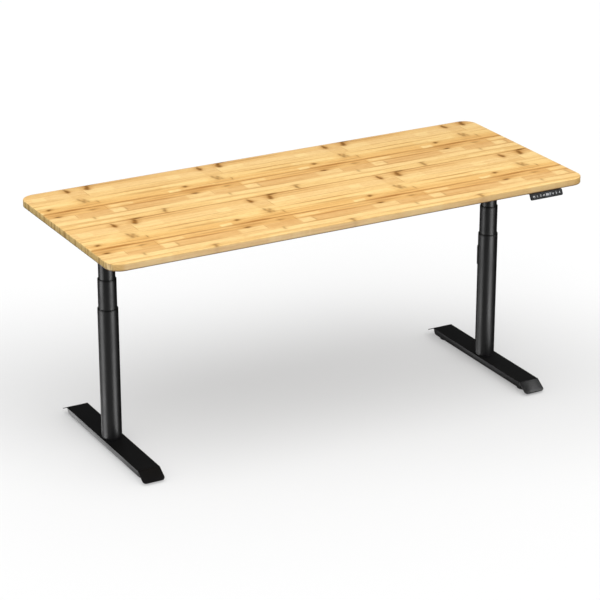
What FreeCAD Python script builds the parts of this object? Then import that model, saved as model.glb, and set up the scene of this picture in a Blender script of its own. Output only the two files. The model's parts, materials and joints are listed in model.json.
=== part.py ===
import FreeCAD, Part
import math
import os
from FreeCAD import Placement, Rotation, Vector

# Height adjustable standing desk: two three-stage round lifting columns, each driven by a geared
# motor and a telescoping screw, under one rectangular wooden desktop. Millimetres, +Z up, +Y to the
# rear, floor at Z 0. Everything is drawn with the desktop raised part of the way.

# ---- driving dimensions ----
topLength = 1800.0
topDepth = 750.0
topThickness = 25.0
topCornerRadius = 50.0
topArris = 3.0
topHeight = 807.2  # floor to the desktop's upper face in the pose drawn
handsetOverhang = 14.0  # how far the handset stands in front of the desktop
columnX = 750.0  # centre line of each column, left and right of the middle

footWidth = 80.0
footFlat = 580.0  # flat length of the foot's upper face
footTop = 39.0
footWall = 26.0
footLean = 5.5  # how far each side wall leans in
footSheet = 3.0
footWallEnd = 2.0  # side walls stop this short of the flat length
flapRun = 45.0
frontFlapDrop = 29.0
rearFlapDrop = 22.0
flapCorner = 12.0
levellerY = 260.0
padRadius = 24.0
padHeight = 10.0
studRadius = 4.0

outerRadius = 35.0
outerWall = 1.8
middleRadius = 31.8
middleWall = 1.6
innerRadius = 28.5
innerWall = 1.6
glideGap = 0.3
outerRim = 508.0
middleRim = 613.2
collarLip = 4.0
collarSkirt = 60.0
glideLength = 48.0
middleLength = 450.0
innerBottom = 275.0
basePlate = 10.0

baseNutTop = 445.0
nutHeight = 24.0
lowerScrewRadius = 12.0
lowerScrewLength = 370.0
lowerScrewHead = 6.0
upperScrewRadius = 8.0
screwGap = 0.05
middleNutTop = 573.2
middleNutCap = 14.0
hexFlats = 16.8
hexGap = 0.1
hexLength = 20.0
upperScrewBottom = 300.0

plateThickness = 4.0
bracketWidth = 70.0
bracketLength = 560.0
bracketFlange = 16.0
gearboxHeight = 60.0
gearboxWidth = 62.0
gearboxDepth = 90.0
earThickness = 3.0
motorRadius = 24.0
motorLength = 90.0
motorReach = 110.0  # the motor's whole length with its cap and cable gland
motorDrop = 33.0  # motor axis below the bracket plate
railY = 80.0
railWidth = 40.0
railHeight = 30.0
railSheet = 3.0
railHalfLength = 778.0
screwRadius = 3.0
screwHeadRadius = 5.25
screwHead = 3.5
screwClear = 0.25  # radial room round a screw that passes through
woodScrewRadius = 2.5
woodScrewHeadRadius = 4.8
woodScrewHead = 2.5
woodScrewGrip = 14.0  # how far a wood screw goes into the desktop
footCircleRadius = 22.0
earX = 20.0
earY = 51.0
trayHoleSpacing = 400.0
trayHoleRadius = 3.25
trayHoleX = -300.0

boxX0 = 120.0
boxX1 = 380.0
boxHalf = 50.0
boxHeight = 40.0
boxWall = 2.5
cableRadius = 2.5
cableZ = 3.2  # cable centre below the desktop when it is clipped up

handsetX0 = 666.4
handsetWidth = 130.0
handsetShelf = 4.0  # flat strip between the desktop edge and the sloping face
handsetDrop = 18.5
keySize = 11.0
keyPitch = 13.4
displayWidth = 24.0
keyStand = 0.4
keyDepth = 3.0
panelHeight = 19.0
panelMargin = 4.0  # the panel is this much shorter than the case
panelCorner = 2.0
faceThickness = 1.6
handsetScrewY = 24.0
handsetScrewSpacing = 96.0
handsetCableY = 38.0
handsetCableZ = 8.0

guideHalf = 20.0
guideStand = 4.6  # how far the cable guide stands off the tube
guideAbove = 57.7  # the guide's two ends, down from the outer tube's rim
guideBelow = 129.2
guideChannel = 9.0

# ---- levels and places worked out from them ----
yMid = handsetOverhang / 2
underside = topHeight - topThickness
bracketBottom = underside - plateThickness
gearboxBottom = bracketBottom - gearboxHeight
motorZ = bracketBottom - motorDrop
yFront = yMid - topDepth / 2
middleBottom = middleRim - middleLength
outerBore = outerRadius - outerWall
middleBore = middleRadius - middleWall
innerBore = innerRadius - innerWall
sides = (("left", -1), ("right", 1))
railNames = (("front", -1), ("rear", 1))
parts = {}


def box(x0, x1, y0, y1, z0, z1):
    return Part.makeBox(x1 - x0, y1 - y0, z1 - z0, Vector(x0, y0, z0))


def rod(radius, z0, z1, x=0.0, y=0.0):
    return Part.makeCylinder(radius, z1 - z0, Vector(x, y, z0), Vector(0, 0, 1))


def ring(outer, inner, z0, z1, x=0.0, y=0.0):
    return rod(outer, z0, z1, x, y).cut(rod(inner, z0 - 1, z1 + 1, x, y))


def bar(radius, start, end):
    """Round bar between two points."""
    start, end = Vector(*start), Vector(*end)
    return Part.makeCylinder(radius, (end - start).Length, start, end - start)


def hexBar(flats, z0, z1, x, y):
    corner = flats / 2 / math.cos(math.pi / 6)
    points = [
        Vector(x + corner * math.cos(k * math.pi / 3), y + corner * math.sin(k * math.pi / 3), z0)
        for k in range(6)
    ]
    return Part.Face(Part.makePolygon(points + points[:1])).extrude(Vector(0, 0, z1 - z0))


def slab(points, normal):
    """Prism on a closed outline of points, as deep as the vector normal."""
    corners = [Vector(*p) for p in points]
    return Part.Face(Part.makePolygon(corners + corners[:1])).extrude(Vector(*normal))


def join(shapes):
    whole = shapes[0].multiFuse(shapes[1:]) if len(shapes) > 1 else shapes[0]
    return whole.removeSplitter()


def edgesAlong(shape, axis):
    """Straight edges that run along one axis, 0, 1 or 2."""
    found = []
    for edge in shape.Edges:
        if edge.Curve.TypeId == "Part::GeomLine":
            d = edge.tangentAt(edge.FirstParameter)
            if abs((d.x, d.y, d.z)[axis]) > 0.999:
                found.append(edge)
    return found


def at(shape, x=0.0, y=0.0, z=0.0):
    moved = shape.copy()
    moved.translate(Vector(x, y, z))
    return moved


# ---- desktop ----
def makeDesktop():
    board = box(-topLength / 2, topLength / 2, yFront, yFront + topDepth, underside, topHeight)
    board = board.makeFillet(topCornerRadius, edgesAlong(board, 2))
    rims = [e for e in board.Edges if abs(e.BoundBox.ZMax - e.BoundBox.ZMin) < 0.01]
    return board.makeFillet(topArris, rims)


# ---- feet and levellers ----
def makeFlap(end, drop):
    """Tongue that bends down from one end of the foot, with rounded lower corners."""
    half = footWidth / 2
    length = math.hypot(flapRun, drop)
    tongue = box(-half, half, 0, length, -footSheet, 0)
    tips = [e for e in edgesAlong(tongue, 2) if e.BoundBox.YMin > length - 1]
    tongue = tongue.makeFillet(flapCorner, tips)
    root = Part.makeCylinder(footSheet, footWidth, Vector(-half, 0, -footSheet), Vector(1, 0, 0))
    root = root.common(box(-half, half, -footSheet, footSheet, -footSheet, 0))
    tongue = join([tongue, root])
    tongue.rotate(Vector(0, 0, 0), Vector(1, 0, 0), -math.degrees(math.atan2(drop, flapRun)))
    if end < 0:
        tongue = tongue.mirror(Vector(0, 0, 0), Vector(0, 1, 0))
    return at(tongue, 0, end * footFlat / 2, footTop)


def screwCircle():
    turns = [math.pi / 4 + k * math.pi / 2 for k in range(4)]
    return [(footCircleRadius * math.cos(t), footCircleRadius * math.sin(t)) for t in turns]


def makeFoot(x):
    half = footWidth / 2
    y0, y1 = -footFlat / 2, footFlat / 2
    low = footTop - footWall
    top = box(-half, half, y0, y1, footTop - footSheet, footTop)
    top = top.makeFillet(2.0, [e for e in edgesAlong(top, 1) if e.BoundBox.ZMin > footTop - 1])
    wallLength = footFlat - 2 * footWallEnd
    pieces = [top, makeFlap(-1, frontFlapDrop), makeFlap(1, rearFlapDrop)]
    for side in (-1, 1):
        edge = side * half
        outline = [
            (edge, y0 + footWallEnd, footTop - 2.2),
            (side * (half - footLean), y0 + footWallEnd, low),
            (side * (half - footLean - footSheet), y0 + footWallEnd, low),
            (side * (half - footSheet), y0 + footWallEnd, footTop - 2.2),
        ]
        wall = slab(outline, (0, wallLength, 0))
        for end in (-1, 1):
            corner = box(-half, half, 0, 10, low - 1, low + 10)
            corner = corner.cut(
                Part.makeCylinder(10, footWidth, Vector(-half, 0, low + 10), Vector(1, 0, 0))
            )
            yCorner = end * (wallLength / 2 - 10)
            if end < 0:
                corner = corner.mirror(Vector(0, 0, 0), Vector(0, 1, 0))
            wall = wall.cut(at(corner, 0, yCorner))
        pieces.append(wall)
    for y in (-levellerY, levellerY):
        pieces.append(rod(8.0, footTop - 15, footTop - footSheet, 0, y))
    foot = join(pieces)
    for y in (-levellerY, levellerY):
        foot = foot.cut(rod(studRadius + screwGap, footTop - 16, footTop - footSheet, 0, y))
    for sx, sy in screwCircle():
        foot = foot.cut(rod(screwRadius + screwClear, footTop - 10, footTop + 1, sx, sy))
    return at(foot, x, yMid)


def makeLeveller(x, y):
    pad = rod(padRadius, 0, padHeight)
    upper = [e for e in pad.Edges if e.BoundBox.ZMin > padHeight - 0.01]
    pad = pad.makeChamfer(3.0, upper)
    nut = hexBar(13.0, padHeight, padHeight + 3, 0, 0)
    stud = rod(studRadius, padHeight + 2, footTop - footSheet - 3)
    return at(join([pad, nut, stud]), x, yMid + y)


# ---- telescoping column ----
def makeCollar(tubeRadius, bore, slideRadius, rim):
    """Plastic glide in a tube's mouth: a lip on the rim and a skirt down inside."""
    lip = rod(tubeRadius, rim - collarLip, rim)
    lip = lip.makeFillet(1.2, [e for e in lip.Edges if e.BoundBox.ZMin > rim - 0.01])
    skirt = rod(bore, rim - collarLip - collarSkirt, rim - 1)
    return join([lip, skirt]).cut(rod(slideRadius + glideGap, 0, rim + 1))


def makeOuterTube():
    top = outerRim - collarLip
    tube = ring(outerRadius, outerBore, footTop, top)
    plate = rod(outerBore + 0.5, footTop, footTop + basePlate)
    tube = join([tube, plate]).cut(rod(10.0, footTop - 1, footTop + basePlate + 1))
    for sx, sy in screwCircle():
        tube = tube.cut(rod(screwRadius, footTop - 1, footTop + basePlate + 1, sx, sy))
    return tube


def makeBaseNutTube():
    z0 = footTop + basePlate
    post = ring(18.0, 15.5, z0, baseNutTop - nutHeight + 1)
    nut = ring(18.0, lowerScrewRadius + screwGap, baseNutTop - nutHeight, baseNutTop)
    flange = ring(16.0, 6.0, z0, z0 + 4)
    spigot = ring(10.0, 6.0, footTop + 2, z0 + 1)
    return join([post, nut, flange, spigot])


def makeMiddleNutTube():
    """Carrier ring in the middle tube's foot, a tube up from it and a nut in its cap."""
    carrier = ring(middleBore, 20.5, middleBottom, middleBottom + 6)
    post = ring(23.0, 20.5, middleBottom, middleNutTop)
    capLow = middleNutTop - middleNutCap
    cap = ring(22.0, upperScrewRadius + screwGap, capLow, middleNutTop)
    shelf = ring(22.0, lowerScrewRadius + 1.0, capLow - lowerScrewHead - 5, capLow - lowerScrewHead - 1)
    return join([carrier, post, cap, shelf])


def makeLowerScrew():
    top = middleNutTop - middleNutCap - 0.5
    head = rod(17.0, top - lowerScrewHead + 0.5, top)
    screw = join([rod(lowerScrewRadius, top - lowerScrewLength, top), head])
    return screw.cut(hexBar(hexFlats + 2 * hexGap, top - lowerScrewLength - 1, top + 1, 0, 0))


def makeUpperScrew():
    journalTop = bracketBottom - 13
    shank = rod(upperScrewRadius, upperScrewBottom + hexLength, gearboxBottom + 8)
    drive = hexBar(hexFlats, upperScrewBottom, upperScrewBottom + hexLength, 0, 0)
    journal = rod(7.0, gearboxBottom + 8, journalTop)
    return join([shank, drive, journal])


def makeScrewBearing():
    z0, z1 = gearboxBottom + 10, gearboxBottom + 20
    outerRace = ring(16.0, 13.4, z0, z1)
    innerRace = ring(9.8, 7.0 + screwGap, z0, z1)
    web = ring(13.6, 9.6, z0 + 2, z1 - 2)
    return join([outerRace, web, innerRace])


def makeGearbox(side):
    """Cast housing on the column's head: tube socket, bearing seat, screw bore and bolting ears."""
    half = gearboxWidth / 2
    block = box(-half, half, -gearboxDepth / 2, gearboxDepth / 2, gearboxBottom + 16, bracketBottom)
    block = block.makeFillet(8.0, edgesAlong(block, 2))
    boss = rod(half, gearboxBottom, gearboxBottom + 17)
    pieces = [block, boss]
    for ex, ey in earPlaces():
        pieces.append(rod(6.0, bracketBottom - earThickness, bracketBottom, ex, ey))
        y0, y1 = sorted((ey, ey - math.copysign(10, ey)))
        pieces.append(box(ex - 6, ex + 6, y0, y1, bracketBottom - earThickness, bracketBottom))
    pieces.append(bar(18.0, (side * -half + side * 4, 0, motorZ), (side * -(half + 2), 0, motorZ)))
    housing = join(pieces)
    housing = housing.cut(rod(innerRadius, gearboxBottom - 1, gearboxBottom + 10))
    housing = housing.cut(rod(16.0, gearboxBottom + 9, gearboxBottom + 20))
    housing = housing.cut(rod(8.0, gearboxBottom + 19, bracketBottom - 12))
    for ex, ey in earPlaces():
        housing = housing.cut(rod(screwRadius + screwClear, bracketBottom - 10, bracketBottom + 1, ex, ey))
    return housing


def earPlaces():
    return [(ex, ey) for ex in (-earX, earX) for ey in (-earY, earY)]


def makeMotor(side):
    """Sealed geared motor lying along the desk, its end towards the middle."""
    start = -side * (gearboxWidth / 2 + 2)
    step = -side
    neck = bar(18.0, (start, 0, motorZ), (start + step * 5, 0, motorZ))
    can = bar(motorRadius, (start + step * 4, 0, motorZ), (start + step * (4 + motorLength), 0, motorZ))
    rims = [e for e in can.Edges if e.Curve.TypeId == "Part::GeomCircle"]
    can = can.makeFillet(2.0, rims)
    cap = bar(motorRadius - 4, (start + step * 90, 0, motorZ), (start + step * 100, 0, motorZ))
    gland = bar(5.0, (start + step * 99, 0, motorZ), (start + step * motorReach, 0, motorZ))
    return join([neck, can, cap, gland])


# ---- frame under the desktop ----
def railPlaces(side):
    return [(side * columnX + dx, end * railY) for dx in (-15.0, 15.0) for _, end in railNames]


def bracketScrewPlaces(side):
    return [(side * columnX, y * end) for y in (130.0, 190.0, 250.0) for end in (-1, 1)]


def makeSideBracket(side):
    x = side * columnX
    half, length = bracketWidth / 2, bracketLength / 2
    plate = box(x - half, x + half, -length, length, bracketBottom, underside)
    plate = plate.makeFillet(10.0, edgesAlong(plate, 2))
    pieces = [plate]
    for edge in (-1, 1):
        x0, x1 = sorted((x + edge * half, x + edge * (half - footSheet)))
        pieces.append(box(x0, x1, -length + 20, length - 20, underside - bracketFlange, underside))
    bracket = join(pieces)
    inner = x - side * half
    for _, end in railNames:
        y0, y1 = end * railY - railWidth / 2 - 1, end * railY + railWidth / 2 + 1
        bracket = bracket.cut(box(inner - 6, inner + 6, y0, y1, 0, bracketBottom))
    for sx, sy in railPlaces(side) + [(x + ex, ey) for ex, ey in earPlaces()]:
        bracket = bracket.cut(rod(screwRadius, bracketBottom - 1, underside + 1, sx, sy))
    for sx, sy in bracketScrewPlaces(side):
        bracket = bracket.cut(rod(woodScrewRadius + screwClear, bracketBottom - 1, underside + 1, sx, sy))
    return at(bracket, 0, yMid)


def makeRail(end):
    y = end * railY
    half = railWidth / 2
    low = bracketBottom - railHeight
    rail = box(-railHalfLength, railHalfLength, y - half, y + half, low, bracketBottom)
    rail = rail.makeFillet(3.0, [e for e in edgesAlong(rail, 0) if e.BoundBox.ZMin > bracketBottom - 1])
    core = half - railSheet
    rail = rail.cut(
        box(-railHalfLength - 1, railHalfLength + 1, y - core, y + core, low - 1, bracketBottom - railSheet)
    )
    for _, side in sides:
        for sx, sy in railPlaces(side):
            if sy * end > 0:
                rail = rail.cut(rod(screwRadius + screwClear, low, bracketBottom + 1, sx, sy))
    if end > 0:
        for hx in (trayHoleX, trayHoleX + trayHoleSpacing):
            rail = rail.cut(rod(trayHoleRadius, bracketBottom - 5, bracketBottom + 1, hx, y))
    else:
        start = (cableCrossX, y - half - 1, underside - boxSocketDrop)
        rail = rail.cut(bar(8.0, start, (cableCrossX, y + half + 1, underside - boxSocketDrop)))
    return at(rail, 0, yMid)


def buttonScrew(x, y, headLow, radius, headRadius, headHeight, shankTop):
    """Screw that points up: a rounded head with a hexagon socket, and a plain shank."""
    head = rod(headRadius, headLow, headLow + headHeight, x, y)
    low = [e for e in head.Edges if e.BoundBox.ZMax < headLow + 0.01]
    head = head.makeFillet(headHeight * 0.55, low)
    screw = join([head, rod(radius, headLow + headHeight - 0.5, shankTop, x, y)])
    return screw.cut(hexBar(4.0, headLow - 1, headLow + headHeight * 0.6, x, y))


def makeFrameScrews():
    places = []
    for _, side in sides:
        places += railPlaces(side)
        places += [(side * columnX + ex, ey) for ex, ey in earPlaces()]
    low = bracketBottom - earThickness - screwHead
    return [
        buttonScrew(x, yMid + y, low, screwRadius, screwHeadRadius, screwHead, underside) for x, y in places
    ]


def makeFootScrews():
    low = footTop - footSheet - screwHead
    return [
        buttonScrew(
            side * columnX + sx, yMid + sy, low, screwRadius, screwHeadRadius, screwHead, footTop + 7
        )
        for _, side in sides
        for sx, sy in screwCircle()
    ]


def makeDesktopScrews():
    places = bracketScrewPlaces(-1) + bracketScrewPlaces(1) + boxEarPlaces()
    places = [(x, yMid + y) for x, y in places] + handsetScrewPlaces()
    low, top = bracketBottom - woodScrewHead, underside + woodScrewGrip
    sizes = (woodScrewRadius, woodScrewHeadRadius, woodScrewHead)
    return [buttonScrew(x, y, low, *sizes, top) for x, y in places]


# ---- control box ----
boxSocketDrop = 18.0
boxEar = 14.0
inletY = 22.0
leftSocketY = -25.0
rightSocketY = 20.0
handsetSocketY = -25.0
cableCrossX = 425.0


def boxEarPlaces():
    return [(x, y) for x in (boxX0 - boxEar / 2, boxX1 + boxEar / 2) for y in (-38.0, 38.0)]


def makeControlBox():
    low = underside - boxHeight
    shell = box(boxX0, boxX1, -boxHalf, boxHalf, low, underside)
    shell = shell.makeFillet(6.0, edgesAlong(shell, 2))
    shell = shell.makeFillet(2.0, [e for e in shell.Edges if e.BoundBox.ZMax < low + 0.01])
    w = boxWall
    hollow = box(boxX0 + w, boxX1 - w, -boxHalf + w, boxHalf - w, low + w, underside + 1)
    shell = shell.cut(hollow.makeFillet(4.0, edgesAlong(hollow, 2)))
    pieces = [shell]
    for ex, ey in boxEarPlaces():
        inward = 9 if ex < boxX1 - 1 else -9
        pieces.append(rod(boxEar / 2, bracketBottom, underside, ex, ey))
        x0, x1 = sorted((ex, ex + inward))
        pieces.append(box(x0, x1, ey - boxEar / 2, ey + boxEar / 2, bracketBottom, underside))
    for bx in (boxX0 + 20, boxX1 - 20):
        for by in (-33.0, 33.0):
            pieces.append(rod(4.0, low + w - 0.5, low + w + 6, bx, by))
    shell = join(pieces)
    for ex, ey in boxEarPlaces():
        shell = shell.cut(rod(woodScrewRadius + screwClear, bracketBottom - 1, underside + 1, ex, ey))
    z = underside - boxSocketDrop
    shell = shell.cut(box(boxX0 - 1, boxX0 + w + 1, inletY - 13.5, inletY + 13.5, z - 10, z + 10))
    for x, y in ((boxX0, leftSocketY), (boxX1 - w, rightSocketY), (boxX1 - w, handsetSocketY)):
        shell = shell.cut(bar(cableRadius, (x - 1, y, z), (x + w + 1, y, z)))
    return at(shell, 0, yMid)


def makeControlBoard():
    low = underside - boxHeight + boxWall + 6
    board = box(boxX0 + 12, boxX1 - 12, -42, 42, low, low + 1.6)
    top = low + 1.6
    blocks = [
        (150, 196, 2, 34, 17),
        (210, 236, -34, -8, 20),
        (244, 270, -34, -8, 20),
        (286, 306, -34, 10, 12),
        (318, 352, 12, 38, 8),
        (214, 262, 8, 34, 15),
    ]
    pieces = [board]
    for x0, x1, y0, y1, height in blocks:
        pieces.append(box(x0, x1, y0, y1, top - 0.5, top + height))
    for cx in (318.0, 336.0):
        pieces.append(rod(7.0, top - 0.5, top + 22, cx, -24))
    return at(join(pieces), 0, yMid)


def makePowerInlet():
    """Appliance inlet set in the control box's left end, open towards the left."""
    z = underside - boxSocketDrop
    flange = box(boxX0 - 3, boxX0, inletY - 17, inletY + 17, z - 12, z + 12)
    flange = flange.makeFillet(3.0, edgesAlong(flange, 0))
    body = box(boxX0 - 1, boxX0 + 11.5, inletY - 13.5, inletY + 13.5, z - 10, z + 10)
    inlet = join([flange, body])
    recess = box(boxX0 - 4, boxX0 + 9, inletY - 11.5, inletY + 11.5, z - 8, z + 8)
    inlet = inlet.cut(recess.makeFillet(2.5, edgesAlong(recess, 0)))
    blades = [
        box(boxX0 - 1, boxX0 + 10, inletY + dy - 1, inletY + dy + 1, z + dz - 2, z + dz + 2)
        for dy, dz in ((-6, -1.5), (0, 2.5), (6, -1.5))
    ]
    return at(join([inlet] + blades), 0, yMid)


# ---- cables held under the desktop ----
def makeCable(name, route):
    """Round cable on straight runs joined by tangent arcs, each as large as its runs allow."""
    points = [Vector(*p) for p in route]
    edges = []
    here = points[0]
    tightest = None
    for before, corner, after in zip(points, points[1:], points[2:]):
        a, b = corner - before, after - corner
        turn = a.getAngle(b)
        reach = 0.45 * min(a.Length, b.Length)
        radius = reach / math.tan(turn / 2)
        tightest = radius if tightest is None else min(tightest, radius)
        start = corner - a.normalize() * reach
        end = corner + b.normalize() * reach
        middle = (end - start) * 0.5 + start
        towards = (corner - middle).normalize()
        apex = corner - towards * (radius / math.cos(turn / 2) - radius)
        edges.append(Part.LineSegment(here, start).toShape())
        edges.append(Part.Arc(start, apex, end).toShape())
        here = end
    edges.append(Part.LineSegment(here, points[-1]).toShape())
    path = Part.Wire(edges)
    profile = Part.Wire(Part.Circle(points[0], points[1] - points[0], cableRadius).toShape())
    cable = path.makePipeShell([profile], True, False)
    ideal = math.pi * cableRadius**2 * path.Length
    share = cable.Volume / ideal
    print(f"{name}: {path.Length:.0f} mm, tightest bend {tightest:.1f} mm, volume {share:.4f}")
    return cable


clipHigh = underside - cableZ
socketZ = underside - boxSocketDrop
motorEnd = columnX - gearboxWidth / 2 - 2 - motorReach
cableRoutes = {
    "left_motor_cable": [
        (-motorEnd, yMid, motorZ),
        (-motorEnd + 32, yMid, motorZ),
        (-motorEnd + 78, yMid, clipHigh),
        (20, yMid, clipHigh),
        (64, yMid - 16, clipHigh - 3),
        (94, yMid + leftSocketY, socketZ),
        (boxX0, yMid + leftSocketY, socketZ),
    ],
    "right_motor_cable": [
        (motorEnd, yMid, motorZ),
        (motorEnd - 30, yMid, motorZ),
        (motorEnd - 72, yMid + 8, clipHigh),
        (450, yMid + 14, clipHigh),
        (410, yMid + rightSocketY, socketZ),
        (boxX1, yMid + rightSocketY, socketZ),
    ],
    "handset_cable": [
        (handsetX0, yFront + handsetCableY, underside - handsetCableZ),
        (handsetX0 - 24, yFront + handsetCableY, underside - handsetCableZ),
        (handsetX0 - 52, yFront + handsetCableY + 2, clipHigh),
        (470, yFront + 46, clipHigh),
        (cableCrossX, yFront + 90, clipHigh),
        (cableCrossX, yMid - 150, clipHigh),
        (cableCrossX, yMid - 116, socketZ),
        (cableCrossX, yMid - 66, socketZ + 0.5),
        (cableCrossX - 10, yMid - 36, socketZ),
        (cableCrossX - 25, yMid + handsetSocketY, socketZ - 0.2),
        (boxX1, yMid + handsetSocketY, socketZ),
    ],
}


def makeClip(x, y, turned=False):
    """Adhesive cable clip: a base pad on the desktop and a loop round the cable."""
    pad = box(-5, 5, -9, 9, -2.0, 0)
    pad = pad.makeFillet(2.0, edgesAlong(pad, 2))
    loop = bar(cableRadius + 1.6, (-5, 0, -cableZ), (5, 0, -cableZ))
    loop = loop.common(box(-6, 6, -9, 9, -20, 0))
    clip = join([pad, loop]).cut(bar(cableRadius, (-6, 0, -cableZ), (6, 0, -cableZ)))
    if turned:
        clip.rotate(Vector(0, 0, 0), Vector(0, 0, 1), 90)
    return at(clip, x, y, underside)


def makeCableClips():
    places = [(x, yMid, False) for x in (-480.0, -300.0, -120.0)]
    places += [(cableCrossX, yMid + y, True) for y in (-180.0, -220.0)]
    return [makeClip(*place) for place in places]


# ---- handset ----
faceRun = handsetOverhang - handsetShelf
faceTilt = math.degrees(math.atan2(handsetDrop, faceRun))
faceY = yFront - handsetShelf - faceRun / 2
faceCentre = Vector(handsetX0 + handsetWidth / 2, faceY, underside - handsetDrop / 2)
leftKeys = ["memory_key", "preset_1_key", "preset_2_key", "up_key"]
rightKeys = ["down_key", "preset_3_key", "preset_4_key"]


def onFace(shape):
    """Places a shape drawn flat, with its outside up, on the handset's sloping face."""
    placed = shape.copy()
    placed.Placement = Placement(faceCentre, Rotation(Vector(1, 0, 0), faceTilt))
    return placed


def keyPlaces():
    """Place along the face of each key and of the display."""
    slots = leftKeys + ["display"] + rightKeys
    widths = [displayWidth if name == "display" else keyPitch for name in slots]
    places, x = {}, -sum(widths) / 2
    for name, width in zip(slots, widths):
        places[name] = x + width / 2
        x += width
    return places


def roundedPad(x, width, height, z0, z1, corner):
    pad = box(x - width / 2, x + width / 2, -height / 2, height / 2, z0, z1)
    return pad.makeFillet(corner, edgesAlong(pad, 2))


def handsetScrewPlaces():
    middle = handsetX0 + handsetWidth / 2
    return [(middle + end * handsetScrewSpacing / 2, yFront + handsetScrewY) for end in (-1, 1)]


def makeHandsetCase():
    x0 = handsetX0
    outline = [
        (x0, yFront - handsetShelf, underside),
        (x0, yFront - handsetOverhang, underside - handsetDrop),
        (x0, yFront - 7.8, underside - 21.8),
        (x0, yFront + 2.6, underside - 2.5),
        (x0, yFront + 8, underside - 2.8),
        (x0, yFront + 17.5, underside - 6.5),
        (x0, yFront + 34, underside - 11.3),
        (x0, yFront + 50, underside - 14),
        (x0, yFront + 50, underside),
    ]
    case = slab(outline, (handsetWidth, 0, 0))
    corners = [
        e
        for e in edgesAlong(case, 0)
        if e.BoundBox.ZMax < underside - 10 and e.BoundBox.YMin > yFront - handsetOverhang + 1
    ]
    case = case.makeFillet(1.2, corners)
    width = handsetWidth - panelMargin
    case = case.cut(onFace(roundedPad(0, width, panelHeight, -faceThickness, 5, panelCorner)))
    well = box(-(handsetWidth / 2 - 4.5), handsetWidth / 2 - 4.5, -7.4, 8.6, -5.6, 0)
    case = case.cut(onFace(well))
    y, z = yFront + handsetCableY, underside - handsetCableZ
    case = case.cut(bar(cableRadius, (x0 - 1, y, z), (x0 + 3, y, z)))
    for sx, sy in handsetScrewPlaces():
        case = case.cut(rod(5.5, underside - 40, bracketBottom, sx, sy))
        case = case.cut(rod(woodScrewRadius + screwClear, bracketBottom - 1, underside + 1, sx, sy))
    return case


def makeHandsetFace():
    panel = roundedPad(0, handsetWidth - panelMargin, panelHeight, -faceThickness, 0, panelCorner)
    for name, x in keyPlaces().items():
        if name != "display":
            panel = panel.cut(roundedPad(x, keySize + 0.6, keySize + 0.6, -5, 5, 2.3))
    return onFace(panel)


def makeKey(x):
    cap = roundedPad(x, keySize, keySize, -keyDepth, keyStand, 2.0)
    cap = cap.makeFillet(0.3, [e for e in cap.Edges if e.BoundBox.ZMin > keyStand - 0.01])
    lip = roundedPad(x, keySize + 1.8, keySize + 1.8, -keyDepth, 0.5 - keyDepth, 2.5)
    return onFace(join([cap, lip]))


def makeHandsetBoard():
    half = handsetWidth / 2 - 6
    board = box(-half, half, -7.0, 8.0, -5.4, -4.4)
    shown = keyPlaces()["display"]
    display = box(shown - 10.5, shown + 10.5, -6, 6, -4.6, -faceThickness - 0.2)
    return onFace(join([board, display]))


# ---- cable guide on the right column ----
def makeLegGuide():
    z0, z1 = outerRim - guideBelow, outerRim - guideAbove
    guide = box(-guideHalf, guideHalf, 18, outerRadius + guideStand, z0, z1)
    rear = [e for e in edgesAlong(guide, 2) if e.BoundBox.YMin > outerRadius]
    guide = guide.makeFillet(3.0, rear)
    guide = guide.cut(rod(outerRadius, z0 - 1, z1 + 1))
    deep = outerRadius + guideStand / 2 + 0.1
    guide = guide.cut(box(-guideChannel, guideChannel, 20, deep, z0 - 1, z1 + 1))
    return at(guide, columnX, yMid)


# ---- the whole desk ----
def makeColumn(name, side):
    x = side * columnX
    stack = {
        "outer_tube": makeOuterTube(),
        "outer_collar": makeCollar(outerRadius, outerBore, middleRadius, outerRim),
        "base_nut_tube": makeBaseNutTube(),
        "middle_tube": ring(middleRadius, middleBore, middleBottom, middleRim - collarLip),
        "middle_collar": makeCollar(middleRadius, middleBore, innerRadius, middleRim),
        "middle_glide": ring(outerBore - glideGap, middleRadius, middleBottom, middleBottom + glideLength),
        "middle_nut_tube": makeMiddleNutTube(),
        "lower_screw": makeLowerScrew(),
        "inner_tube": ring(innerRadius, innerBore, innerBottom, gearboxBottom + 10),
        "inner_glide": ring(middleBore - glideGap, innerRadius, innerBottom, innerBottom + glideLength),
        "upper_screw": makeUpperScrew(),
        "screw_bearing": makeScrewBearing(),
        "gearbox": makeGearbox(side),
        "motor": makeMotor(side),
    }
    for piece, shape in stack.items():
        parts[f"{name}_{piece}"] = at(shape, x, yMid)


parts["desktop"] = makeDesktop()
for name, side in sides:
    parts[f"{name}_foot"] = makeFoot(side * columnX)
    for where, end in railNames:
        parts[f"{name}_{where}_leveller"] = makeLeveller(side * columnX, end * levellerY)
    makeColumn(name, side)
    parts[f"{name}_side_bracket"] = makeSideBracket(side)
for name, end in railNames:
    parts[f"{name}_rail"] = makeRail(end)
parts["frame_screws"] = Part.makeCompound(makeFrameScrews())
parts["foot_screws"] = Part.makeCompound(makeFootScrews())
parts["desktop_screws"] = Part.makeCompound(makeDesktopScrews())
parts["control_box"] = makeControlBox()
parts["control_board"] = makeControlBoard()
parts["power_inlet"] = makePowerInlet()
for name, route in cableRoutes.items():
    parts[name] = makeCable(name, route)
parts["cable_clips"] = Part.makeCompound(makeCableClips())
parts["handset_case"] = makeHandsetCase()
parts["handset_face"] = makeHandsetFace()
parts["handset_board"] = makeHandsetBoard()
for name, x in keyPlaces().items():
    if name != "display":
        parts[name] = makeKey(x)
parts["leg_cable_guide"] = makeLegGuide()

os.makedirs("parts", exist_ok=True)
for name, shape in parts.items():
    good = shape.isValid() and all(s.isClosed() for s in shape.Shells)
    if not good or not shape.Solids:
        print("CHECK", name, "valid", shape.isValid(), "solids", len(shape.Solids))
    shape.exportStep(f"parts/{name}.step")
print(len(parts), "nodes")
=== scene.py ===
import json
import math

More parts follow.
